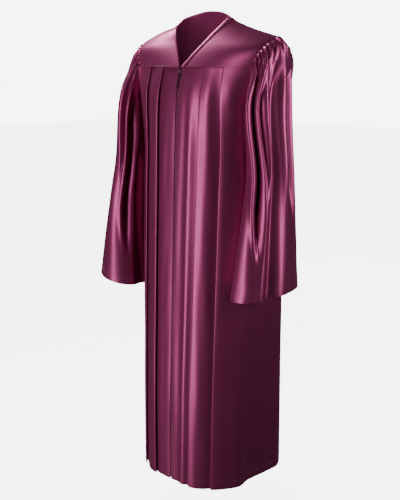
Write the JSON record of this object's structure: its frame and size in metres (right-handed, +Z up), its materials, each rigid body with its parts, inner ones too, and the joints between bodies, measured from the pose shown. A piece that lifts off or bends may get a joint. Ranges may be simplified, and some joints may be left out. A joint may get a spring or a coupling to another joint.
{
  "type": "graduation gown",
  "caption": "Long graduation gown in shiny maroon satin, with a V-necked yoke, knife-pleated panels, a front zip and bell sleeves gathered into the armholes.",
  "frame": {"origin": "the middle of the neck, level with the top of the left shoulder seam, where the wearer's shoulders carry the gown", "axes": "+Z up, the gown faces -Y, +X towards the wearer's left"},
  "size_m": [0.693, 0.3903, 1.3193],
  "materials": {
    "satin": "shiny polyester satin",
    "zip_tape": "woven zip tape",
    "zip_metal": "lacquered zip metal"
  },
  "bodies": {
    "gown": {"yoke_front_right": "satin", "yoke_front_left": "satin", "yoke_back": "satin", "neck_band": "satin", "front_panel_right": "satin", "front_panel_left": "satin", "back_panel": "satin", "sleeve_right": "satin", "sleeve_left": "satin", "zip_tape": "zip_tape", "zip_slider": "zip_metal"},
    "pull_tab": {"zip_pull_tab": "zip_metal"}
  },
  "joints": [
    {"name": "pull_tab_hinge", "type": "hinge", "parent": "gown", "child": "pull_tab", "pos_m": [0, -0.09163, -0.14317], "axis": [-1, 0, 0], "range_deg": [0, 150]}
  ]
}
